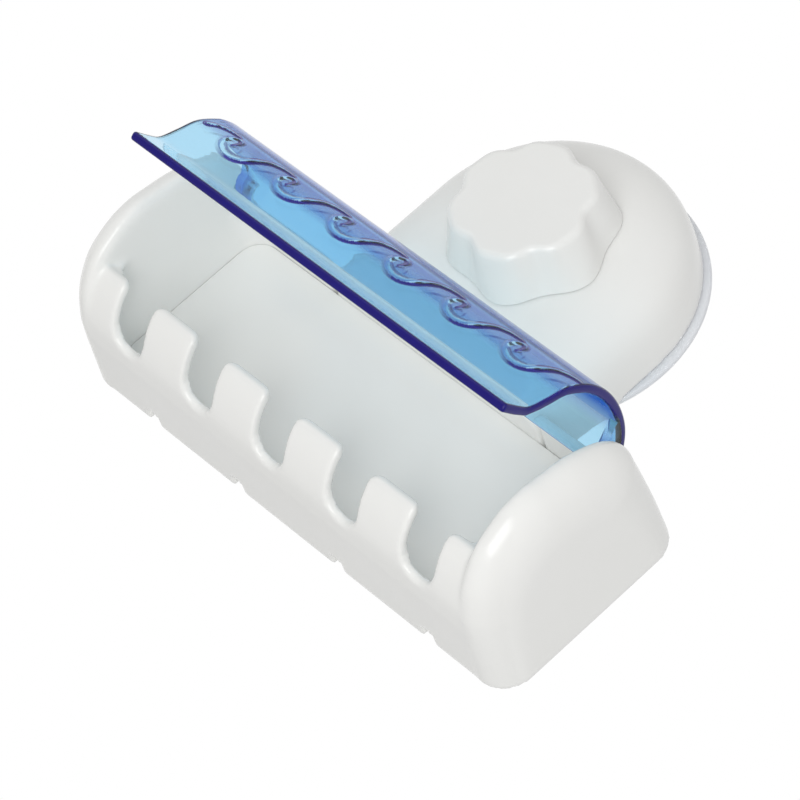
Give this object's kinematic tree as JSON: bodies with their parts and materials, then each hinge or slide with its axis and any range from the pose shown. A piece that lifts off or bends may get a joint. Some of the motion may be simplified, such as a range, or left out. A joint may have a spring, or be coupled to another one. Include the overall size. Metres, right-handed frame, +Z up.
{
  "type": "toothbrush holder",
  "caption": "Wall toothbrush holder held by a screw-tightened suction pad, with a slotted tray under a swinging clear lid.",
  "frame": {"origin": "centre of the suction pad's face, on the wall", "axes": "+Y into the wall, +X to the right seen from the front along the tray, +Z up"},
  "size_m": [0.153, 0.071, 0.1271],
  "materials": {
    "white_abs": "glossy moulded",
    "blue_polystyrene": "clear tinted, glossy moulded",
    "clear_pvc": "soft, translucent",
    "turned_brass": "turned",
    "plated_steel": "zinc plated",
    "white_nylon": "matt moulded"
  },
  "bodies": {
    "base": {"tray_shell": "white_abs", "back_housing": "white_abs", "suction_pad": "clear_pvc"},
    "lid": {"lid": "blue_polystyrene"},
    "knob": {"knob": "white_abs", "knob_nut": "turned_brass", "thrust_washer": "white_nylon"},
    "stud": {"threaded_stud": "plated_steel"}
  },
  "joints": [
    {"name": "lid_hinge", "type": "hinge", "parent": "base", "child": "lid", "pos_m": [0, -0.028, -0.0363], "axis": [-1, 0, 0], "range_deg": [-47, 49]},
    {"name": "knob_turn", "type": "hinge", "parent": "base", "child": "knob", "pos_m": [0, 0, 0], "axis": [0, 1, 0], "range_deg": [0, 450]},
    {"name": "stud_pull", "type": "slide", "parent": "base", "child": "stud", "axis": [0, -1, 0], "range_m": [0, 0.0016]}
  ],
  "couplings": [
    {"joint": "stud_pull", "follows": "knob_turn", "m_per_rad": 0.00019894}
  ]
}
